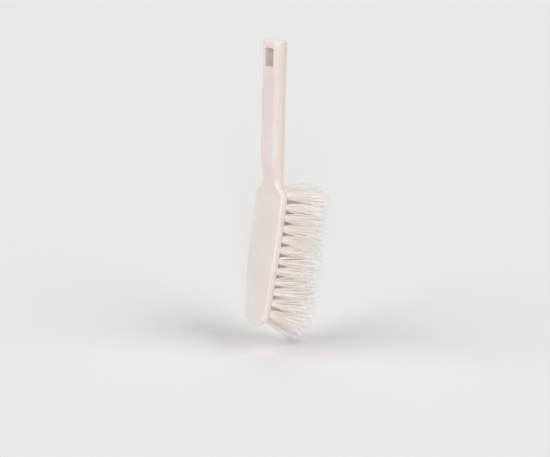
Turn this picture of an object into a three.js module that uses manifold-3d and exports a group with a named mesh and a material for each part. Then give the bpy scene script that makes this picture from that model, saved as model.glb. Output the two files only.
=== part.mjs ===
// A hand brush: a one-piece moulded handle and block, with four rows of tufts held by staple anchors.
// Millimetres. +Z runs up the handle, the tufts point to +Y and the smooth back faces -Y.
// A station is a length down the spine from the handle's end face. A depth is square to the spine,
// and grows from the back towards the tufts.
import * as THREE from 'three';
import { mergeVertices } from 'three/addons/utils/BufferGeometryUtils.js';
import Module from 'manifold-3d';

const wasm = await Module();
wasm.setup();

// Handle
const handleLength = 129.8;
const handleEndWidth = 26.8;
const handleNeckWidth = 26.4;
const handleThickness = 19.4;
const handleBackCut = 4;
const handleFrontCut = 3.4;
const endEdgeRound = 2.4;

// Hang slot, open through the handle from back to front. Its lower edge, the sill, is cut off aslant
const slotWidth = 12;
const slotHeight = 20.2;
const slotFromEnd = 8.9;
const slotCornerRadius = 1.6;
const slotLip = 1;
const sillDrop = 2;
const sillDepth = 2.4;

// Neck: it draws in, runs level and then spreads into the block's shoulders, while the spine bends
const waistWidth = 26;
const waistLength = 26;
const waistRun = 9;
const shoulderLength = 14;
const bendLength = 31;
const bendAngle = THREE.MathUtils.degToRad(10);

// How far past the handle its back cut starts to narrow, and over what length. The last size is how steeply
// the neck's back still falls where it meets the block
const backCutFadeFrom = 29;
const backCutFadeLength = 11;
const backCrease = 0.6;

// Block, arched along its length with its back bulging, and fuller at its middle than a straight taper
const blockLength = 156;
const blockHeelWidth = 43;
const blockNoseWidth = 34;
const blockBulge = 2.2;
const blockThickness = 10;
const blockBackDepth = -2.2;
const blockArchRadius = 2600;
const blockBackCut = 1.2;
const blockFaceCut = 0.8;
const noseRadius = 15;

// Mould parting: both sides of the moulding slope in from it
const partingDraft = 0.7;

// Tufts
const outerRowTufts = 12;
const tuftHole = 5;
const tuftHoleDepth = 7.4;
const firstTuftFromHeel = -1.9;
const lastTuftFromNose = 16.4;
const innerRowBefore = 3.2;
const innerRowPast = 6.4;
const rowFromEdge = 6.2;
const rowFlare = THREE.MathUtils.degToRad(8);

// Height of the trimmed tips over the block's face
const heelTrim = 68;
const noseTrim = 70;

// How far tufts lean along the block, at its middle and at the outer rows' two ends, and how closely
// the change of lean gathers at those ends
const middleLean = THREE.MathUtils.degToRad(4);
const heelLean = THREE.MathUtils.degToRad(1);
const noseLean = THREE.MathUtils.degToRad(18);
const leanGather = 7;

// Strands: each tuft is a middle strand and a ring of others, which fan out towards the tips
const ringStrands = 5;
const strandSides = 3;
const strandRadius = 0.6;
const strandTipRadius = 0.45;
const strandRing = 1.35;
const fanAcross = 5.4;
const fanAlong = 4.9;
const trimUneven = 2.4;
const trimSteps = 7;
const trimStrandStride = 3;
const trimTuftStride = 2;
const tipFlat = 0.5;

// Backing slice that each row's tufts grow from, with its margins beside a hole and past the last ones
const sliceThickness = 2.2;
const sliceMargin = 0.3;
const sliceEndMargin = 0.9;
const strandSink = 1.7;

// Staple anchors
const anchorThickness = 0.4;
const anchorHeight = 2;
const anchorBite = 0.5;
const tuftFold = 1.4;

// Space left between pieces that fit into each other
const clearance = 0.3;

// Facets
const cornerSteps = 2;
const noseSteps = 6;
const neckStep = 3;
const blockRings = 9;
const holeSides = 6;

// The most of an edge that the rounding of its corner takes, the least half width a flat is left with,
// and the distance within which points are one
const roundingShare = 0.3;
const flatLeast = 0.2;
const weldDistance = 1e-4;

const plastic = new THREE.MeshStandardMaterial({ color: '#e6dcd4', roughness: 0.45 });
const filament = new THREE.MeshStandardMaterial({ color: '#e9e0d8', roughness: 0.6 });
const steel = new THREE.MeshStandardMaterial({ color: '#b9bcbf', roughness: 0.35, metalness: 1 });

// Stations that follow from the sizes above
const neckStart = handleLength;
const shoulderStart = neckStart + waistLength + waistRun;
const blockStart = shoulderStart + shoulderLength;
const bendStart = blockStart - bendLength;
const noseEnd = blockStart + blockLength;
const noseRound = Math.min(noseRadius, blockNoseWidth / 2 - blockBackCut);
const noseCentre = noseEnd - noseRound;
const faceDepth = blockBackDepth + blockThickness;
const rowSpan = blockLength - firstTuftFromHeel - lastTuftFromNose;

function ease(station, from, to, before, after) {
  return before + (after - before) * THREE.MathUtils.smoothstep(station, from, to);
}

// The spine: straight down the handle, a bend at the neck, then the block's long arch the other way
function spineAt(station) {
  const bendRadius = bendLength / bendAngle;
  const bent = THREE.MathUtils.clamp((station - bendStart) / bendRadius, 0, bendAngle);
  const arched = Math.max(station - blockStart, 0) / blockArchRadius;
  const tilt = bent - arched;
  const straight = Math.min(station, bendStart);
  const y = -bendRadius * (1 - Math.cos(bent)) - blockArchRadius * (Math.cos(tilt) - Math.cos(bent));
  const z = -straight - bendRadius * Math.sin(bent) + blockArchRadius * (Math.sin(tilt) - Math.sin(bent));
  return {
    point: new THREE.Vector3(0, y, z),
    along: new THREE.Vector3(0, -Math.sin(tilt), -Math.cos(tilt)),
    out: new THREE.Vector3(0, Math.cos(tilt), -Math.sin(tilt)),
  };
}

function place(station, x, depth) {
  const { point, out } = spineAt(station);
  point.addScaledVector(out, depth);
  point.x += x;
  return point;
}

// Half the block's width without its round nose
function taperAt(station) {
  const share = THREE.MathUtils.clamp((station - blockStart) / (noseCentre - blockStart), 0, 1);
  const straight = THREE.MathUtils.lerp(blockHeelWidth, blockNoseWidth, share) / 2;
  return straight + blockBulge * 4 * share * (1 - share);
}

function halfWidthAt(station) {
  if (station > blockStart) {
    const past = THREE.MathUtils.clamp(station - noseCentre, 0, noseRound);
    return taperAt(station) - noseRound + Math.sqrt(noseRound ** 2 - past ** 2);
  }
  if (station > shoulderStart) {
    return ease(station, shoulderStart, blockStart, waistWidth, blockHeelWidth) / 2;
  }
  const neckWidth = THREE.MathUtils.lerp(handleEndWidth, handleNeckWidth, Math.min(station / neckStart, 1));
  return ease(station, neckStart, neckStart + waistLength, neckWidth, waistWidth) / 2;
}

// The depth of the back, which leaves the handle gently and meets the block in a crease
function backAt(station) {
  const share = THREE.MathUtils.clamp((station - neckStart) / (blockStart - neckStart), 0, 1);
  const fall = share ** 2 * (3 - backCrease - (2 - backCrease) * share);
  return THREE.MathUtils.lerp(-handleThickness / 2, blockBackDepth, fall);
}

// The corners of one half of the moulding's section, from the middle of its back round to its face
function sectionAt(station, inset) {
  const half = halfWidthAt(station) - inset;
  const side = half - partingDraft;
  const back = backAt(station) + inset;
  const front = ease(station, neckStart, neckStart + waistLength, handleThickness / 2, faceDepth) - inset;
  const fadeStart = neckStart + backCutFadeFrom;
  const backCut = ease(station, fadeStart, fadeStart + backCutFadeLength, handleBackCut, blockBackCut);
  const frontCut = ease(station, neckStart, shoulderStart, handleFrontCut, blockFaceCut);
  return [
    new THREE.Vector2(Math.max(side - backCut, flatLeast), back),
    new THREE.Vector2(side, back + backCut),
    new THREE.Vector2(half, (back + front) / 2),
    new THREE.Vector2(side, front - frontCut),
    new THREE.Vector2(Math.max(side - frontCut, flatLeast), front),
  ];
}

// A closed outline with each corner, but the sharp ones, replaced by a short curve between its two edges
function roundedOutline(corners, reach, steps, sharp = []) {
  const outline = [];
  corners.forEach((corner, i) => {
    if (sharp.includes(corner)) {
      outline.push(corner);
      return;
    }
    const before = corners[(i + corners.length - 1) % corners.length];
    const after = corners[(i + 1) % corners.length];
    const start = corner.clone().lerp(before, Math.min(reach / corner.distanceTo(before), roundingShare));
    const end = corner.clone().lerp(after, Math.min(reach / corner.distanceTo(after), roundingShare));
    const curve = new THREE.QuadraticBezierCurve(start, corner, end);
    outline.push(...curve.getPoints(steps));
  });
  return outline;
}

// Skins a row of outlines with equal counts of points and closes both ends
function loft(rings) {
  const count = rings[0].length;
  const positions = rings.flat().flatMap((p) => p.toArray());
  const triangles = [];
  for (let i = 0; i + 1 < rings.length; i += 1) {
    for (let j = 0; j < count; j += 1) {
      const a = i * count + j;
      const b = i * count + (j + 1) % count;
      triangles.push(a, a + count, b, b, a + count, b + count);
    }
  }
  const last = (rings.length - 1) * count;
  for (let j = 1; j + 1 < count; j += 1) {
    triangles.push(0, j, j + 1, last, last + j + 1, last + j);
  }
  const geometry = new THREE.BufferGeometry();
  geometry.setAttribute('position', new THREE.Float32BufferAttribute(positions, 3));
  geometry.setIndex(triangles);
  return geometry;
}

function toSolid(geometry) {
  const bare = geometry.clone();
  bare.deleteAttribute('normal');
  bare.deleteAttribute('uv');
  const merged = mergeVertices(bare, weldDistance);
  return new wasm.Manifold(new wasm.Mesh({
    numProp: 3,
    vertProperties: new Float32Array(merged.attributes.position.array),
    triVerts: new Uint32Array(merged.index.array),
  }));
}

function toGeometry(solid) {
  const { vertProperties, triVerts } = solid.getMesh();
  const geometry = new THREE.BufferGeometry();
  geometry.setAttribute('position', new THREE.Float32BufferAttribute(vertProperties, 3));
  geometry.setIndex(Array.from(triVerts));
  geometry.computeVertexNormals();
  return geometry;
}

// The plain moulding, before its slot and holes are cut
function mouldingSolid() {
  const stops = [];
  for (let i = 0; i <= cornerSteps; i += 1) {
    const turn = (i / cornerSteps) * Math.PI / 2;
    stops.push([endEdgeRound * (1 - Math.cos(turn)), endEdgeRound * (1 - Math.sin(turn))]);
  }
  const neckRings = Math.round((blockStart - neckStart) / neckStep);
  for (let i = 0; i <= neckRings; i += 1) {
    stops.push([THREE.MathUtils.lerp(neckStart, blockStart, i / neckRings), 0]);
  }
  for (let i = 1; i <= blockRings; i += 1) {
    stops.push([THREE.MathUtils.lerp(blockStart, noseCentre, i / blockRings), 0]);
  }
  for (let i = 1; i <= noseSteps; i += 1) {
    stops.push([noseCentre + noseRound * Math.sin((i / noseSteps) * Math.PI / 2), 0]);
  }
  const rings = stops.map(([station, inset]) => {
    const half = sectionAt(station, inset);
    const other = half.map((p) => new THREE.Vector2(-p.x, p.y)).reverse();
    const parting = [half[2], other[2]];
    const outline = roundedOutline([...half, ...other], blockBackCut / 2, cornerSteps, parting);
    return outline.map((p) => place(station, p.x, p.y));
  });
  return toSolid(loft(rings));
}

// The hang slot's cutter, flared at both mouths from a lip's depth inside the faces, with a slope at its sill
function slotCutter() {
  const outside = handleThickness / 2 + slotLip;
  const inside = handleThickness / 2 - slotLip;
  const sillStart = handleThickness / 2 - sillDepth;
  const top = -slotFromEnd;
  const bottom = top - slotHeight;
  const rings = [outside, inside, sillStart, -sillStart, -inside, -outside].map((depth) => {
    const grow = Math.max(Math.abs(depth) - inside, 0);
    const x = slotWidth / 2 + grow;
    const sill = ((Math.abs(depth) - sillStart) * sillDrop) / sillDepth;
    const corners = [
      new THREE.Vector2(-x, bottom - sill),
      new THREE.Vector2(x, bottom - sill),
      new THREE.Vector2(x, top + grow),
      new THREE.Vector2(-x, top + grow),
    ];
    const outline = roundedOutline(corners, slotCornerRadius, cornerSteps);
    return outline.map((p) => new THREE.Vector3(p.x, depth, p.y)).reverse();
  });
  return toSolid(loft(rings));
}

const rows = [
  { name: 'left_outer', share: -1 },
  { name: 'left_inner', share: -1 / 3 },
  { name: 'right_inner', share: 1 / 3 },
  { name: 'right_outer', share: 1 },
];

// Inner rows start before the outer ones and end past them, with one tuft more
function tuftStations(row) {
  const inner = Math.abs(row.share) < 1;
  const count = inner ? outerRowTufts + 1 : outerRowTufts;
  const first = blockStart + firstTuftFromHeel - (inner ? innerRowBefore : 0);
  const span = rowSpan + (inner ? innerRowBefore + innerRowPast : 0);
  return Array.from({ length: count }, (_, i) => first + (span * i) / (count - 1));
}

// Outer rows follow the edge at the shoulders and the nose, inner rows keep to the block's taper
function rowX(row, station) {
  const inner = Math.abs(row.share) < 1;
  const half = inner ? taperAt(station) : halfWidthAt(station);
  return (half - rowFromEdge) * row.share;
}

function leanAt(station) {
  const middle = blockStart + firstTuftFromHeel + rowSpan / 2;
  const away = (station - middle) / (rowSpan / 2);
  const endLean = away < 0 ? heelLean : noseLean;
  return middleLean + (endLean - middleLean) * Math.abs(away) ** leanGather;
}

// A tuft's frame: its origin on the block's face, its Z axis along the tuft and its X axis across the block
function tuftFrame(row, station) {
  const { along, out } = spineAt(station);
  const lean = leanAt(station);
  const flare = rowFlare * row.share;
  const axis = out.clone().multiplyScalar(Math.cos(lean)).addScaledVector(along, Math.sin(lean));
  axis.multiplyScalar(Math.cos(flare));
  axis.x += Math.sin(flare);
  const across = new THREE.Vector3(1, 0, 0).addScaledVector(axis, -axis.x).normalize();
  const frame = new THREE.Matrix4().makeBasis(across, axis.clone().cross(across), axis);
  return frame.setPosition(place(station, rowX(row, station), faceDepth));
}

// The slice of block face that a row's tufts grow from, widened and deepened by a space for its seat
function sliceSolid(row, space) {
  const stations = tuftStations(row);
  const end = tuftHole / 2 + sliceEndMargin + space;
  const stops = [stations[0] - end, stations[0]];
  stations.slice(1).forEach((station, i) => stops.push((stations[i] + station) / 2));
  stops.push(stations.at(-1) + end);
  const top = faceDepth + (space ? blockThickness : 0);
  const bottom = faceDepth - sliceThickness - space;
  const rings = stops.map((station) => {
    const x = rowX(row, Math.min(station, stations.at(-1)));
    const half = tuftHole / 2 + sliceMargin + space;
    const corners = [[x - half, bottom], [x + half, bottom], [x + half, top], [x - half, top]];
    return corners.map(([across, depth]) => place(station, across, depth));
  });
  return toSolid(loft(rings));
}

// The folded root of a tuft below the face, or its drilled hole where a space is given
function rootSolid(frame, space) {
  const radius = tuftHole / 2 - clearance + space;
  const depth = tuftHoleDepth - clearance + space;
  const height = depth - sliceThickness / 2;
  const geometry = new THREE.CylinderGeometry(radius, radius, height, holeSides);
  geometry.rotateY(Math.PI / holeSides);
  geometry.rotateX(Math.PI / 2);
  geometry.translate(0, 0, height / 2 - depth);
  geometry.applyMatrix4(frame);
  return toSolid(geometry);
}

function anchorBox(space) {
  const length = tuftHole + 2 * anchorBite + 2 * space;
  return new THREE.BoxGeometry(anchorThickness + 2 * space, length, anchorHeight + 2 * space);
}

// The anchor's own frame: it lies along the row, on top of the tuft's fold at the bottom of the hole
function anchorFrame(frame) {
  const depth = tuftHoleDepth - clearance - tuftFold - anchorHeight / 2;
  return frame.clone().multiply(new THREE.Matrix4().makeTranslation(0, 0, -depth));
}

function anchorSeat(frame) {
  return toSolid(anchorBox(clearance).applyMatrix4(anchorFrame(frame)));
}

// The two ends of a strand: sunk in the slice and at its tip. Left rows mirror right ones
function strandRings(turn, ring, length, mirror) {
  const ends = [
    { height: length, across: fanAcross, along: fanAlong, radius: strandTipRadius },
    { height: -strandSink, across: strandRing, along: strandRing, radius: strandRadius },
  ];
  return ends.map(({ height, across, along, radius }) => {
    const outline = Array.from({ length: strandSides }, (_, side) => {
      const angle = (side / strandSides) * 2 * Math.PI;
      const x = ring * across * Math.cos(turn) + radius * Math.cos(angle);
      const y = ring * along * Math.sin(turn) + radius * Math.sin(angle);
      return new THREE.Vector3(mirror * x, y, height);
    });
    return mirror > 0 ? outline : outline.reverse();
  });
}

// A tuft's strands, trimmed level with the other tufts' ones but for a small unevenness
function strandSolids(row, station, tuft) {
  const frame = tuftFrame(row, station);
  const trim = THREE.MathUtils.lerp(heelTrim, noseTrim, (station - blockStart) / blockLength);
  const length = trim / (Math.cos(leanAt(station)) * Math.cos(rowFlare * row.share));
  const solids = [];
  for (let i = 0; i <= ringStrands; i += 1) {
    const turn = (i / ringStrands) * 2 * Math.PI;
    const short = trimUneven * ((i * trimStrandStride + tuft * trimTuftStride) % trimSteps) / trimSteps;
    const ring = i === ringStrands ? 0 : 1;
    const rings = strandRings(turn, ring, length - short, Math.sign(row.share));
    solids.push(toSolid(loft(rings).applyMatrix4(frame)));
  }
  return solids;
}

function joined(solids) {
  return solids.reduce((whole, solid) => whole.add(solid));
}

const brush = new THREE.Group();
const bristleRows = new THREE.Group();
const anchors = new THREE.Group();
brush.add(bristleRows, anchors);

let moulding = mouldingSolid().subtract(slotCutter());
const rowSolids = rows.map((row) => {
  const stations = tuftStations(row);
  const frames = stations.map((station) => tuftFrame(row, station));
  const anchorSeats = joined(frames.map(anchorSeat));
  const holes = joined(frames.map((frame) => rootSolid(frame, clearance)));
  moulding = moulding.subtract(sliceSolid(row, clearance)).subtract(holes).subtract(anchorSeats);
  frames.forEach((frame, i) => {
    const anchor = new THREE.Mesh(anchorBox(0), steel);
    anchor.name = `anchor_${row.name}_${String(i + 1).padStart(2, '0')}`;
    anchorFrame(frame).decompose(anchor.position, anchor.quaternion, anchor.scale);
    anchors.add(anchor);
  });
  const roots = joined(frames.map((frame) => rootSolid(frame, 0)));
  const strands = joined(stations.flatMap((station, i) => strandSolids(row, station, i)));
  return sliceSolid(row, 0).add(roots).subtract(anchorSeats).add(strands);
});

// The lowest tips are cut level, where the upright brush meets what it stands on
const lowest = Math.min(...rowSolids.map((solid) => solid.boundingBox().min[2]));
rows.forEach((row, i) => {
  const trimmed = rowSolids[i].trimByPlane([0, 0, 1], lowest + tipFlat);
  const tufts = new THREE.Mesh(toGeometry(trimmed), filament);
  tufts.name = `tuft_row_${row.name}`;
  bristleRows.add(tufts);
});

const body = new THREE.Mesh(toGeometry(moulding), plastic);
body.name = 'handle_and_block';
brush.add(body);

// The origin is under the middle of the brush, level with the lowest tips
const extent = new THREE.Box3().setFromObject(brush);
const middle = extent.getCenter(new THREE.Vector3());
brush.position.set(-middle.x, -middle.y, -extent.min.z);

export default brush;
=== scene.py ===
import math
import random

import bpy
from mathutils import Matrix, Vector


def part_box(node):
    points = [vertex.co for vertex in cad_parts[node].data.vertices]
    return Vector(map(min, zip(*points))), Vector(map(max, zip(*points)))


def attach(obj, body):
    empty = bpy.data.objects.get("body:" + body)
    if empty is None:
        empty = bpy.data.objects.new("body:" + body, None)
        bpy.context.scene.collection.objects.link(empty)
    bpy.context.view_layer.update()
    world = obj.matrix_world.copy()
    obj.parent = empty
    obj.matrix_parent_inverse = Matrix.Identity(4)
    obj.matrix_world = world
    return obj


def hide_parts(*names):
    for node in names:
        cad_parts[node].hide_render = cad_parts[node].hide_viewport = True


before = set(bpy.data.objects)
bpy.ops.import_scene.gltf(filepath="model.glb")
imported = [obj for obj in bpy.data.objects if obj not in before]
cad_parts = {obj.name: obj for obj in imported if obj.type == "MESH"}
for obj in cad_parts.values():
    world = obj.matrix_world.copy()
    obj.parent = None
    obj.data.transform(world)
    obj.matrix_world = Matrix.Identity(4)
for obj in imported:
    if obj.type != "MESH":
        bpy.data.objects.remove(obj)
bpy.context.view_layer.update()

mm = 0.001  # sizes below are in millimetres, meshes in metres


def lerp(a, b, share):
    return a + (b - a) * share


def clamp(value, low, high):
    return max(low, min(high, value))


def ease(station, start, end, before, after):
    t = clamp((station - start) / (end - start), 0, 1)
    return lerp(before, after, t * t * (3 - 2 * t))


def srgb(red, green, blue):
    # 0-255 screen values to the linear colour a shader socket takes
    def linear(c):
        c /= 255
        return c / 12.92 if c <= 0.04045 else ((c + 0.055) / 1.055) ** 2.4
    return (linear(red), linear(green), linear(blue), 1)


def addPiece(name, verts, faces, material):
    mesh = bpy.data.meshes.new(name)
    mesh.from_pydata(verts, [], faces)
    mesh.validate()
    piece = bpy.data.objects.new(name, mesh)
    bpy.context.scene.collection.objects.link(piece)
    piece.data.materials.append(material)
    piece.data.shade_smooth()
    return piece


def newFinish(name):
    material = bpy.data.materials.new(name)
    material.use_nodes = True
    return material, material.node_tree, material.node_tree.nodes["Principled BSDF"]


def noiseOver(tree, scale, detail, stretch=(1, 1, 1)):
    # noise fixed to the brush itself, so it stays put in every view
    where = tree.nodes.new("ShaderNodeTexCoord")
    turn = tree.nodes.new("ShaderNodeMapping")
    noise = tree.nodes.new("ShaderNodeTexNoise")
    turn.inputs["Scale"].default_value = stretch
    noise.inputs["Scale"].default_value = scale
    noise.inputs["Detail"].default_value = detail
    tree.links.new(where.outputs["Object"], turn.inputs["Vector"])
    tree.links.new(turn.outputs["Vector"], noise.inputs["Vector"])
    return noise.outputs["Fac"]


def tones(tree, source, low, high, start=0.3, end=0.7):
    ramp = tree.nodes.new("ShaderNodeValToRGB")
    first, last = ramp.color_ramp.elements
    first.position, first.color = start, low
    last.position, last.color = end, high
    tree.links.new(source, ramp.inputs["Fac"])
    return ramp.outputs["Color"]


def between(tree, source, low, high):
    remap = tree.nodes.new("ShaderNodeMapRange")
    remap.inputs["To Min"].default_value = low
    remap.inputs["To Max"].default_value = high
    tree.links.new(source, remap.inputs["Value"])
    return remap.outputs["Result"]


def bump(tree, height, depth, under=None):
    relief = tree.nodes.new("ShaderNodeBump")
    relief.inputs["Strength"].default_value = 1
    relief.inputs["Distance"].default_value = depth
    tree.links.new(height, relief.inputs["Height"])
    if under:
        tree.links.new(under, relief.inputs["Normal"])
    return relief.outputs["Normal"]


# moulding finish
plasticLook = {
    "pale": srgb(221, 211, 205),
    "deep": srgb(215, 204, 198),
    "cloudScale": 26,       # slow colour clouding of the melt, per metre
    "grainScale": 2600,     # spark-eroded mould grain
    "grainDepth": 0.00003,
    "waveScale": 42,        # faint sink and flow waves, longer up the handle
    "waveStretch": (1, 1, 0.5),
    "waveDepth": 0.00022,
    "shine": (0.36, 0.5),
    "depth": 0.5,           # share of light that sinks in and spreads
    "depthReach": 0.012,
    "depthTint": (1, 0.85, 0.75),
}


def makePlastic():
    p = plasticLook
    material, tree, shader = newFinish("satinPlastic")
    cloud = noiseOver(tree, p["cloudScale"], detail=3)
    grain = noiseOver(tree, p["grainScale"], detail=1)
    wave = noiseOver(tree, p["waveScale"], detail=2, stretch=p["waveStretch"])
    relief = bump(tree, grain, p["grainDepth"], bump(tree, wave, p["waveDepth"]))
    shader.inputs["Subsurface Weight"].default_value = p["depth"]
    shader.inputs["Subsurface Scale"].default_value = p["depthReach"]
    shader.inputs["Subsurface Radius"].default_value = p["depthTint"]
    tree.links.new(tones(tree, cloud, p["deep"], p["pale"]), shader.inputs["Base Color"])
    tree.links.new(between(tree, grain, *p["shine"]), shader.inputs["Roughness"])
    tree.links.new(relief, shader.inputs["Normal"])
    return material


# filament finish
filamentLook = {
    "pale": srgb(253, 248, 243),
    "deep": srgb(252, 244, 237),
    "tip": srgb(253, 250, 247),
    "tipLightShare": 0.6,        # painted light: how far the tips turn to a paler tone, for light shining through the thin tips
    "shine": (0.36, 0.52),
    "ripple": 900,          # drawn fibre ripple, per metre
    "rippleDepth": 0.00002,
}


def makeFilament():
    f = filamentLook
    material, tree, shader = newFinish("drawnFilament")
    shade = tree.nodes.new("ShaderNodeAttribute")
    shade.attribute_name = "shade"
    reach = tree.nodes.new("ShaderNodeAttribute")
    reach.attribute_name = "reach"
    # painted light: the tips are painted paler, for light shining through the thin, sparse tips
    tipLight = tree.nodes.new("ShaderNodeMixRGB")
    tipLight.inputs["Color2"].default_value = f["tip"]
    bundle = tones(tree, shade.outputs["Fac"], f["deep"], f["pale"], 0, 1)
    tree.links.new(bundle, tipLight.inputs["Color1"])
    tree.links.new(between(tree, reach.outputs["Fac"], 0, f["tipLightShare"]), tipLight.inputs["Fac"])
    ripple = noiseOver(tree, f["ripple"], detail=2)
    tree.links.new(tipLight.outputs["Color"], shader.inputs["Base Color"])
    tree.links.new(between(tree, ripple, *f["shine"]), shader.inputs["Roughness"])
    tree.links.new(bump(tree, ripple, f["rippleDepth"]), shader.inputs["Normal"])
    return material


# anchor finish
wireLook = {
    "pale": srgb(205, 207, 208),
    "deep": srgb(150, 152, 155),
    "drawScale": 3000,      # drawing marks along the wire
    "drawStretch": (1, 0.08, 1),
    "shine": (0.25, 0.45),
    "drawDepth": 0.00001,
}


def makeWire():
    w = wireLook
    material, tree, shader = newFinish("drawnWire")
    drawn = noiseOver(tree, w["drawScale"], detail=2, stretch=w["drawStretch"])
    shader.inputs["Metallic"].default_value = 1
    tree.links.new(tones(tree, drawn, w["deep"], w["pale"]), shader.inputs["Base Color"])
    tree.links.new(between(tree, drawn, *w["shine"]), shader.inputs["Roughness"])
    tree.links.new(bump(tree, drawn, w["drawDepth"]), shader.inputs["Normal"])
    return material


satinPlastic = makePlastic()
drawnFilament = makeFilament()
drawnWire = makeWire()
print("finishes made")

# handle and block, one moulding
moulding = {
    "handleLength": 129.8,
    "endWidth": 26.8,
    "neckWidth": 26.4,
    "thickness": 19.4,
    "backCut": 4,
    "cutFadeFrom": 29,      # past the handle, where its back cut starts to narrow
    "cutFadeLength": 11,
    "frontCut": 3.4,
    "endRound": 2.4,        # rounding of the handle's end
    "waistWidth": 26,       # the drawn-in neck
    "waistLength": 26,
    "waistRun": 9,
    "shoulderLength": 14,
    "bendLength": 31,
    "bendAngle": math.radians(10),
    "blockLength": 156,
    "heelWidth": 43,
    "noseWidth": 34,
    "bulge": 2.2,
    "blockThickness": 10,
    "blockBackDepth": -2.2,   # from the spine towards the tufts, so the back lies behind it
    "backCrease": 0.6,      # how steeply the neck's back still falls where it meets the block
    "archRadius": 2600,
    "blockBackCut": 1.2,
    "blockFaceCut": 0.8,
    "noseRadius": 15,
    "draft": 0.7,           # the sides lean in from the parting line
    "crown": 0.35,          # the block's back is a little higher along its middle
    "cornerReach": 0.9,     # where the rounding of a cut edge starts
    "cornerShare": 0.35,    # at most this share of the flat beside it
    "cornerSteps": 5,
    "flatShares": (0, 0.3, 0.6, 0.85),   # points across the back and the face
    "seamWidth": 0.3,       # fine witness line where the two mould halves met
    "seamHeight": 0.12,
    "handleStep": 4,
    "neckStep": 1,
    "blockStep": 2.5,
    "noseSteps": 18,
    "endSteps": 6,
    "sharpAngle": math.radians(38),   # edges steeper than this stay crisp
}
m = moulding
shoulderStart = m["handleLength"] + m["waistLength"] + m["waistRun"]
blockStart = shoulderStart + m["shoulderLength"]
bendStart = blockStart - m["bendLength"]
noseEnd = blockStart + m["blockLength"]
noseCentre = noseEnd - m["noseRadius"]
faceDepth = m["blockBackDepth"] + m["blockThickness"]

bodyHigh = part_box("handle_and_block")[1]
spineTop = Vector((0, bodyHigh.y - m["thickness"] / 2 * mm, bodyHigh.z))


def spineAt(station):
    # straight down the handle, bent at the neck, arched back along the block
    radius = m["bendLength"] / m["bendAngle"]
    bent = clamp((station - bendStart) / radius, 0, m["bendAngle"])
    tilt = bent - max(station - blockStart, 0) / m["archRadius"]
    y = -radius * (1 - math.cos(bent)) - m["archRadius"] * (math.cos(tilt) - math.cos(bent))
    z = -min(station, bendStart) - radius * math.sin(bent)
    z += m["archRadius"] * (math.sin(tilt) - math.sin(bent))
    along = Vector((0, -math.sin(tilt), -math.cos(tilt)))
    out = Vector((0, math.cos(tilt), -math.sin(tilt)))
    return Vector((0, y, z)), along, out


def place(station, x, depth):
    point, _, out = spineAt(station)
    return spineTop + (point + out * depth + Vector((x, 0, 0))) * mm


def taperAt(station):
    share = clamp((station - blockStart) / (noseCentre - blockStart), 0, 1)
    return lerp(m["heelWidth"], m["noseWidth"], share) / 2 + m["bulge"] * 4 * share * (1 - share)


def halfWidthAt(station):
    if station > blockStart:
        return taperAt(station)
    if station > shoulderStart:
        return ease(station, shoulderStart, blockStart, m["waistWidth"], m["heelWidth"]) / 2
    grip = lerp(m["endWidth"], m["neckWidth"], min(station / m["handleLength"], 1))
    waistEnd = m["handleLength"] + m["waistLength"]
    return ease(station, m["handleLength"], waistEnd, grip, m["waistWidth"]) / 2


def backAt(station):
    # leaves the handle gently and meets the block in a crease
    share = clamp((station - m["handleLength"]) / (blockStart - m["handleLength"]), 0, 1)
    fall = share ** 2 * (3 - m["backCrease"] - (2 - m["backCrease"]) * share)
    return lerp(-m["thickness"] / 2, m["blockBackDepth"], fall)


def roundCorner(before, corner, after):
    # a short curve in place of a corner, between its two edges
    def partWay(other):
        gap = (other - corner).length
        return corner.lerp(other, min(m["cornerReach"] / gap, m["cornerShare"]))
    start, end = partWay(before), partWay(after)
    points = []
    for i in range(m["cornerSteps"] + 1):
        t = i / m["cornerSteps"]
        points.append(start.lerp(corner, t).lerp(corner.lerp(end, t), t))
    return points


def halfSection(station, inset=0):
    # right half of the section, from the pivot line on the back round to the one on the face
    half = halfWidthAt(station) - inset
    side = half - m["draft"]
    back = backAt(station) + inset
    waistEnd = m["handleLength"] + m["waistLength"]
    front = ease(station, m["handleLength"], waistEnd, m["thickness"] / 2, faceDepth) - inset
    fadeStart = m["handleLength"] + m["cutFadeFrom"]
    fadeEnd = fadeStart + m["cutFadeLength"]
    backCut = ease(station, fadeStart, fadeEnd, m["backCut"], m["blockBackCut"])
    frontCut = ease(station, m["handleLength"], shoulderStart, m["frontCut"], m["blockFaceCut"])
    crown = ease(station, shoulderStart, blockStart, 0, m["crown"])
    middle = (back + front) / 2
    pivot = m["noseWidth"] / 2 - m["noseRadius"]
    backEdge = Vector((side - backCut, back))
    backSide = Vector((side, back + backCut))
    parting = Vector((half, middle))
    faceSide = Vector((side, front - frontCut))
    faceEdge = Vector((side - frontCut, front))
    points = []
    for share in m["flatShares"]:
        x = lerp(pivot, backEdge.x - m["cornerReach"], share)
        points.append(Vector((x, back - crown * (1 - (x / backEdge.x) ** 2))))
    points += roundCorner(Vector((pivot, back)), backEdge, backSide)
    points += roundCorner(backEdge, backSide, parting)
    seam, lift = m["seamWidth"], Vector((m["seamHeight"], 0))
    up = (backSide - parting).normalized()
    down = (faceSide - parting).normalized()
    points += [parting + up * seam, parting + up * seam / 3 + lift]
    points += [parting + down * seam / 3 + lift, parting + down * seam]
    points += roundCorner(parting, faceSide, faceEdge)
    points += roundCorner(faceSide, faceEdge, Vector((pivot, front)))
    for share in reversed(m["flatShares"]):
        points.append(Vector((lerp(pivot, faceEdge.x - m["cornerReach"], share), front)))
    return points


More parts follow.
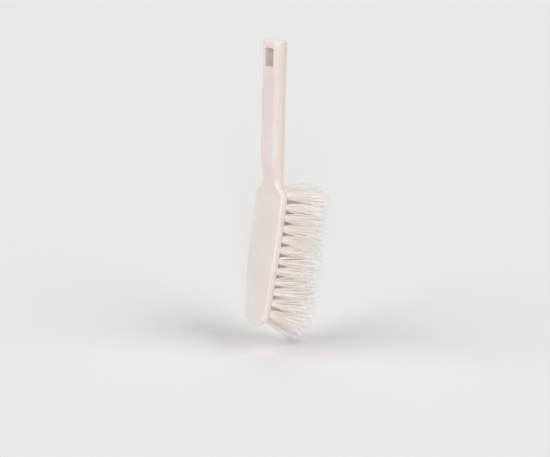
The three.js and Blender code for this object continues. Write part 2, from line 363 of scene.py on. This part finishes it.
def mouldingStops():
    stops = []
    for i in range(m["endSteps"] + 1):
        turn = i / m["endSteps"] * math.pi / 2
        station, inset = 1 - math.cos(turn), 1 - math.sin(turn)
        stops.append((m["endRound"] * station, m["endRound"] * inset))
    for start, end, step in (
        (m["endRound"], m["handleLength"], m["handleStep"]),
        (m["handleLength"], blockStart, m["neckStep"]),
        (blockStart, noseCentre, m["blockStep"]),
    ):
        count = round((end - start) / step)
        stops += [(lerp(start, end, i / count), 0) for i in range(1, count + 1)]
    return stops


def makeMoulding():
    verts, faces = [], []
    rings = []
    for station, inset in mouldingStops():
        right = halfSection(station, inset)
        outline = right + [Vector((-p.x, p.y)) for p in reversed(right)]
        rings.append(range(len(verts), len(verts) + len(outline)))
        verts += [place(station, p.x, p.y) for p in outline]
    count = len(rings[0])
    for a, b in zip(rings, rings[1:]):
        for j in range(count):
            k = (j + 1) % count
            faces.append((a[j], a[k], b[k], b[j]))
    faces.append(tuple(reversed(rings[0])))
    # the nose: each half section swings round its own pivot line
    half = count // 2
    pivot = m["noseWidth"] / 2 - m["noseRadius"]
    section = halfSection(noseCentre)
    last = rings[-1]
    sides = {1: list(last[:half]), -1: list(reversed(last[half:]))}
    for side in (1, -1):
        previous = sides[side]
        for i in range(1, m["noseSteps"] + 1):
            turn = i / m["noseSteps"] * math.pi / 2
            current = [previous[0]]
            for p in section[1:-1]:
                radius = p.x - pivot
                current.append(len(verts))
                x = side * (pivot + radius * math.cos(turn))
                verts.append(place(noseCentre + radius * math.sin(turn), x, p.y))
            current.append(previous[-1])
            for j in range(half - 1):
                quad = [previous[j], previous[j + 1], current[j + 1], current[j]]
                quad = list(dict.fromkeys(quad))
                faces.append(tuple(quad if side > 0 else reversed(quad)))
            previous = current
        sides[side] = previous
    right, left = sides[1], sides[-1]
    for j in range(half - 1):
        faces.append((right[j], right[j + 1], left[j + 1], left[j]))
    return addPiece("handleAndBlock", verts, faces, satinPlastic)


# hang slot
hangSlot = {
    "width": 12,
    "height": 20.2,
    "fromEnd": 8.9,
    "cornerRadius": 1.6,
    "lip": 1,
    "sillDrop": 2,          # the lower edge is cut off aslant
    "sillDepth": 2.4,
    "cornerSteps": 6,
    "lipSteps": 6,
    "clear": 3,             # how far the cutter runs past both faces
}


def slotOutline(grow, drop):
    s = hangSlot
    half = s["width"] / 2 + grow
    top = -s["fromEnd"] + grow
    bottom = -s["fromEnd"] - s["height"] - drop
    r = s["cornerRadius"] + grow / 2
    right, high, low = half - r, top - r, bottom + r
    points = []
    for quarter, (x, z) in enumerate(((right, high), (-right, high), (-right, low), (right, low))):
        for i in range(s["cornerSteps"] + 1):
            turn = (quarter + i / s["cornerSteps"]) * math.pi / 2
            points.append((x + r * math.cos(turn), z + r * math.sin(turn)))
    return points


def makeSlotCutter():
    s = hangSlot
    face = m["thickness"] / 2
    levels = [(face + s["clear"], s["lip"])]
    for i in range(s["lipSteps"] + 1):
        turn = i / s["lipSteps"] * math.pi / 2
        levels.append((face - s["lip"] * (1 - math.cos(turn)), s["lip"] * (1 - math.sin(turn))))
    sillStart = face - s["sillDepth"]
    levels.append((sillStart, 0))
    levels += [(-depth, grow) for depth, grow in reversed(levels)]
    verts, faces = [], []
    rings = []
    for depth, grow in levels:
        sillShare = clamp((abs(depth) - sillStart) / s["sillDepth"], 0, 1)
        outline = slotOutline(grow, s["sillDrop"] * sillShare)
        rings.append(range(len(verts), len(verts) + len(outline)))
        verts += [spineTop + Vector((x, depth, z)) * mm for x, z in outline]
    count = len(rings[0])
    for a, b in zip(rings, rings[1:]):
        for j in range(count):
            k = (j + 1) % count
            faces.append((a[j], a[k], b[k], b[j]))
    faces.append(tuple(reversed(rings[0])))
    faces.append(tuple(rings[-1]))
    return verts, faces


# tuft layout
tufts = {
    "outerCount": 12,
    "hole": 5,
    "holeDepth": 7.4,
    "holeSides": 20,
    "holeClear": 5,         # how far the cutter stands out of the face
    "firstFromHeel": -1.9,
    "lastFromNose": 16.4,
    "innerBefore": 3.2,     # the inner rows start before the outer ones
    "innerPast": 6.4,       # and end past them
    "rowFromEdge": 6.2,
    "flare": math.radians(8),   # the outer rows lean out sideways
    "heelTrim": 68,         # length out of the face
    "noseTrim": 70,
    "middleLean": math.radians(4),
    "heelLean": math.radians(1),
    "noseLean": math.radians(18),
    "leanGather": 7,        # only the end tufts lean much
}
t = tufts
rows = {"left_outer": -1, "left_inner": -1 / 3, "right_inner": 1 / 3, "right_outer": 1}
rowSpan = m["blockLength"] - t["firstFromHeel"] - t["lastFromNose"]


def tuftStations(share):
    # inner rows reach further at both ends, with one tuft more
    count, first, span = t["outerCount"], blockStart + t["firstFromHeel"], rowSpan
    if abs(share) < 1:
        count += 1
        first -= t["innerBefore"]
        span += t["innerBefore"] + t["innerPast"]
    return [first + span * i / (count - 1) for i in range(count)]


def leanAt(station):
    middle = blockStart + t["firstFromHeel"] + rowSpan / 2
    away = (station - middle) / (rowSpan / 2)
    endLean = t["heelLean"] if away < 0 else t["noseLean"]
    return lerp(t["middleLean"], endLean, abs(away) ** t["leanGather"])


def tuftFrame(share, station):
    # origin on the block's face, then across the block, along the row, and out along the tuft
    _, along, out = spineAt(station)
    lean, flare = leanAt(station), t["flare"] * share
    axis = out * math.cos(lean) + along * math.sin(lean)
    axis = axis * math.cos(flare) + Vector((math.sin(flare), 0, 0))
    across = (Vector((1, 0, 0)) - axis * axis.x).normalized()
    half = halfWidthAt(station) if abs(share) == 1 else taperAt(station)
    x = (half - t["rowFromEdge"]) * share
    return place(station, x, faceDepth), across, axis.cross(across), axis


def makeHoleCutters():
    verts, faces = [], []
    sides = t["holeSides"]
    for share in rows.values():
        for station in tuftStations(share):
            origin, across, along, axis = tuftFrame(share, station)
            rings = []
            for height in (-t["holeDepth"], t["holeClear"]):
                rings.append(range(len(verts), len(verts) + sides))
                for i in range(sides):
                    turn = i / sides * 2 * math.pi
                    spoke = across * math.cos(turn) + along * math.sin(turn)
                    verts.append(origin + (spoke * t["hole"] / 2 + axis * height) * mm)
            low, high = rings
            for i in range(sides):
                k = (i + 1) % sides
                faces.append((low[i], low[k], high[k], high[i]))
            faces.append(tuple(reversed(low)))
            faces.append(tuple(high))
    return verts, faces


def cutAway(piece, name, verts, faces):
    cutter = addPiece(name, verts, faces, satinPlastic)
    change = piece.modifiers.new(name, "BOOLEAN")
    change.operation = "DIFFERENCE"
    change.solver = "MANIFOLD"
    change.object = cutter
    bpy.context.view_layer.update()
    evaluated = piece.evaluated_get(bpy.context.evaluated_depsgraph_get())
    result = bpy.data.meshes.new_from_object(evaluated)
    piece.modifiers.clear()
    piece.data = result
    bpy.data.objects.remove(cutter)


handleAndBlock = makeMoulding()
cutAway(handleAndBlock, "slotCutter", *makeSlotCutter())
cutAway(handleAndBlock, "holeCutter", *makeHoleCutters())
handleAndBlock.data.set_sharp_from_angle(angle=m["sharpAngle"])
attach(handleAndBlock, "root")
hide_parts("handle_and_block")
print("moulding made,", len(handleAndBlock.data.polygons), "faces")

# tufts of fine filaments
filaments = {
    "perTuft": 80,
    "radius": 0.25,
    "tipRadius": 0.17,
    "taperFrom": 0.7,       # the last part of each filament is ground finer
    "sides": 4,
    "rings": 9,
    "ringGather": 1.5,      # rings stand closer near the root
    "rootSpread": 2.1,      # radius of the bundle in its hole
    "rootFlat": 0.1,        # the bundle is a little flatter at its sides
    "rootLift": 1,          # the filaments start this far above the hole's bottom
    "anchorGap": 0.45,      # the bundle parts round the anchor plate
    "splay": 1.6,           # the bundle opens as it leaves the mouth
    "splayHeight": 5,       # mostly within this height
    "fanAlong": math.radians(8.5),
    "fanAcross": math.radians(6),
    "heelFan": 0.5,         # the first quarter of the tufts fans less towards the handle
    "heelFanRun": 0.25,
    "mostLean": math.radians(21),   # inner rows reach past the last outer tuft, this caps their lean
    "clumps": 9,
    "clumpPull": 0.55,
    "clumpTone": (0.2, 0.8),
    "toneJitter": 0.18,
    "turnJitter": 0.1,
    "fanJitter": 0.12,
    "bend": 2.2,
    "sag": 1.6,             # how far the tips hang
    "hollow": 3,            # the trim dips a little along the middle
    "uneven": 3,
    "mostShort": 6,         # most filaments end short of the longest by up to this much
    "noseLong": 5,          # the last tufts stand out a little further
    "noseLongGather": 4,
    "longShare": 0.16,
    "strayShare": 0.08,
    "strayFan": 1.4,
    "floorGap": 0.2,
    "seed": 41,
}
goldenTurn = math.pi * (3 - math.sqrt(5))   # spreads the filaments evenly over their hole


def filamentPoints(dice, home, basis, root, spread, slope, end):
    # the filament's middle line, from the bottom of the hole, out of its mouth and on to the tip
    f = filaments
    origin, across, along, axis = home
    down, out = basis
    mouth = origin + (across * root[0] + along * root[1]) * mm
    bendX, bendY = dice.gauss(0, f["bend"] / 2), dice.gauss(0, f["bend"] / 2)
    rest = (f["floorGap"] + dice.random()) * mm
    heights = [f["rootLift"] - t["holeDepth"]]
    outside = f["rings"] - 1
    heights += [end * (i / (outside - 1)) ** f["ringGather"] for i in range(outside)]
    points = []
    for height in heights:
        if height < 0:
            points.append(mouth + axis * height * mm)
            continue
        opening = f["splay"] * (1 - math.exp(-height / f["splayHeight"]))
        far = (height / end) ** 2
        x = spread[0] * opening + slope[0] * height + bendX * far
        y = spread[1] * opening + slope[1] * height + bendY * far
        points.append(mouth + (Vector((x, 0, -f["sag"] * far)) + down * y + out * height) * mm)
    # a tip that would pass the floor is bent up by it
    lift = max(rest - points[-1].z, 0)
    for height, point in zip(heights, points):
        point.z += lift * max(height / end, 0) ** 2
    return points


def makeClumps(dice):
    # where neighbouring filaments draw together, and how pale each clump is
    f = filaments
    clumps = []
    for _ in range(f["clumps"]):
        r, turn = math.sqrt(dice.random()), dice.uniform(0, 2 * math.pi)
        clumps.append((r * math.cos(turn), r * math.sin(turn), dice.uniform(*f["clumpTone"])))
    return clumps


def addFilament(verts, faces, reaches, points):
    # a thin tapered tube along the points, closed at both ends
    f = filaments
    sides = f["sides"]
    axis = (points[-1] - points[1]).normalized()
    side = axis.orthogonal().normalized()
    other = axis.cross(side)
    start = len(verts)
    for k, point in enumerate(points):
        reach = k / (f["rings"] - 1)
        taper = max(reach - f["taperFrom"], 0) / (1 - f["taperFrom"])
        radius = lerp(f["radius"], f["tipRadius"], taper) * mm
        for q in range(sides):
            angle = q / sides * 2 * math.pi
            verts.append(point + (side * math.cos(angle) + other * math.sin(angle)) * radius)
            reaches.append(reach)
    for k in range(f["rings"] - 1):
        for q in range(sides):
            a = start + k * sides + q
            b = start + k * sides + (q + 1) % sides
            faces.append((a, b, b + sides, a + sides))
    faces.append(tuple(range(start + sides - 1, start - 1, -1)))
    faces.append(tuple(range(len(verts) - sides, len(verts))))


def makeTuftRow(name, share):
    f = filaments
    dice = random.Random(f["seed"] + round(share * 3))   # each row draws its own numbers
    gap = f["anchorGap"] / f["rootSpread"]
    verts, faces, shades, reaches = [], [], [], []
    for station in tuftStations(share):
        home = tuftFrame(share, station)
        _, down, out = spineAt(station)
        along = clamp((station - blockStart) / m["blockLength"], 0, 1)
        trim = lerp(t["heelTrim"], t["noseTrim"], along)
        trim -= f["hollow"] * 4 * along * (1 - along)
        trim += f["noseLong"] * along ** f["noseLongGather"]
        heelFan = lerp(f["heelFan"], 1, min(along / f["heelFanRun"], 1))
        lean = min(leanAt(station), f["mostLean"])
        clumps = makeClumps(dice)
        for i in range(f["perTuft"]):
            # even spiral over the hole, parted along the anchor
            r = math.sqrt((i + 0.5) / f["perTuft"])
            turn = i * goldenTurn + dice.uniform(-f["turnJitter"], f["turnJitter"])
            u, v = r * math.cos(turn), r * math.sin(turn)
            rootX = math.copysign(gap + abs(u) * (1 - gap), u)
            rootY = v * (1 - f["rootFlat"] * abs(u))
            root = (rootX * f["rootSpread"], rootY * f["rootSpread"])
            # neighbours draw together into clumps on their way out, and a few stray
            clumpU, clumpV, tone = min(clumps, key=lambda c: math.dist(c[:2], (u, v)))
            pull = f["clumpPull"] * dice.random()
            wide = f["strayFan"] if dice.random() < f["strayShare"] else 1
            fanU = (lerp(u, clumpU, pull) + dice.gauss(0, f["fanJitter"])) * wide
            fanV = (lerp(v, clumpV, pull) + dice.gauss(0, f["fanJitter"])) * wide
            if fanV < 0:
                fanV *= heelFan
            slope = (
                math.tan(t["flare"] * share + fanU * f["fanAcross"]),
                math.tan(lean + fanV * f["fanAlong"]),
            )
            end = trim + dice.uniform(-1, 1) * f["uneven"]
            if wide == 1 and dice.random() > f["longShare"]:
                end -= f["mostShort"] * dice.random()
            points = filamentPoints(dice, home, (down, out), root, (u, v), slope, end)
            shade = clamp(tone + dice.gauss(0, f["toneJitter"]), 0, 1)
            addFilament(verts, faces, reaches, points)
            shades += [shade] * (len(verts) - len(shades))
    row = addPiece("filaments_" + name, verts, faces, drawnFilament)
    for title, values in (("shade", shades), ("reach", reaches)):
        row.data.attributes.new(title, "FLOAT", "POINT").data.foreach_set("value", values)
    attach(row, "root")
    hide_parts("tuft_row_" + name)
    print("row", name, "made,", len(faces), "faces")


for rowName, rowShare in rows.items():
    makeTuftRow(rowName, rowShare)

# anchors stay as built
for nodeName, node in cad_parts.items():
    if nodeName.startswith("anchor_"):
        node.data.materials.clear()
        node.data.materials.append(drawnWire)
print("anchors finished")

# camera
camera = {
    "azimuth": math.radians(41.574),
    "elevation": math.radians(16.127),
    "roll": math.radians(1.375),
    "distance": 1251.9,
    "lookAt": (12.62, -29.69, 158.64),   # a little below and beside the brush's middle
    "lens": 70.68,
    "farClip": 100,
}


def towards(azimuth, elevation):
    # azimuth counts from straight behind the brush's back
    level = math.cos(elevation)
    return Vector((math.sin(azimuth) * level, -math.cos(azimuth) * level, math.sin(elevation)))


def makeCamera():
    c = camera
    a = c["azimuth"]
    back = towards(a, c["elevation"])
    right = Vector((math.cos(a), math.sin(a), 0))
    up = back.cross(right)
    tiltedRight = right * math.cos(c["roll"]) + up * math.sin(c["roll"])
    tiltedUp = up * math.cos(c["roll"]) - right * math.sin(c["roll"])
    data = bpy.data.cameras.new("photoCamera")
    data.lens = c["lens"]
    data.clip_end = c["farClip"]
    cam = bpy.data.objects.new("photoCamera", data)
    bpy.context.scene.collection.objects.link(cam)
    eye = (Vector(c["lookAt"]) + back * c["distance"]) * mm
    turn = Matrix((tiltedRight, tiltedUp, back)).transposed().to_4x4()
    cam.matrix_world = Matrix.Translation(eye) @ turn
    bpy.context.scene.camera = cam


makeCamera()

# studio
studio = {
    "backdrop": srgb(233, 233, 233),
    "floorTone": srgb(231, 231, 231),
    "floorSize": 60,
    "skyStrength": 0.2,
    "lamps": {
        "lampRight": {"azimuth": 102, "elevation": 42, "strength": 1.4, "angle": 44},
        "lampLeft": {"azimuth": -26, "elevation": 40, "strength": 1.34, "angle": 44},
        # beside the camera, so it reaches into the slot and the gaps between tufts
        "lampFront": {"azimuth": 41.6, "elevation": 16, "strength": 1.25, "angle": 12},
        "lampTop": {"azimuth": 222, "elevation": 62, "strength": 0.48, "angle": 60},
    },
    "bounces": 24,          # pale filaments pass light among themselves many times
}


def makeStudio():
    half = studio["floorSize"] / 2
    paper, tree, shader = newFinish("paperFloor")
    shader.inputs["Base Color"].default_value = studio["floorTone"]
    shader.inputs["Roughness"].default_value = 1
    shader.inputs["Specular IOR Level"].default_value = 0
    corners = [(-half, -half, 0), (half, -half, 0), (half, half, 0), (-half, half, 0)]
    floor = addPiece("studioFloor", corners, [(0, 1, 2, 3)], paper)
    world = bpy.data.worlds.new("studioWorld")
    bpy.context.scene.world = world
    world.use_nodes = True
    tree = world.node_tree
    light = tree.nodes["Background"]
    light.inputs["Color"].default_value = (1, 1, 1, 1)
    light.inputs["Strength"].default_value = studio["skyStrength"]
    seen = tree.nodes.new("ShaderNodeBackground")
    seen.inputs["Color"].default_value = studio["backdrop"]
    path = tree.nodes.new("ShaderNodeLightPath")
    ray = path.outputs["Is Camera Ray"]
    for kind in ("Is Glossy Ray", "Is Transmission Ray"):
        either = tree.nodes.new("ShaderNodeMath")
        either.operation = "MAXIMUM"
        tree.links.new(ray, either.inputs[0])
        tree.links.new(path.outputs[kind], either.inputs[1])
        ray = either.outputs[0]
    mix = tree.nodes.new("ShaderNodeMixShader")
    tree.links.new(ray, mix.inputs[0])
    tree.links.new(light.outputs[0], mix.inputs[1])
    tree.links.new(seen.outputs[0], mix.inputs[2])
    tree.links.new(mix.outputs[0], tree.nodes["World Output"].inputs["Surface"])
    for name, lamp in studio["lamps"].items():
        data = bpy.data.lights.new(name, "SUN")
        data.energy = lamp["strength"]
        data.angle = math.radians(lamp["angle"])
        sun = bpy.data.objects.new(name, data)
        bpy.context.scene.collection.objects.link(sun)
        toLamp = towards(math.radians(lamp["azimuth"]), math.radians(lamp["elevation"]))
        sun.rotation_mode = "QUATERNION"
        sun.rotation_quaternion = toLamp.to_track_quat("Z", "Y")


makeStudio()
bpy.context.scene.cycles.diffuse_bounces = studio["bounces"]
bpy.context.scene.cycles.max_bounces = studio["bounces"]
bpy.context.scene.view_settings.view_transform = "Standard"
print("studio made")
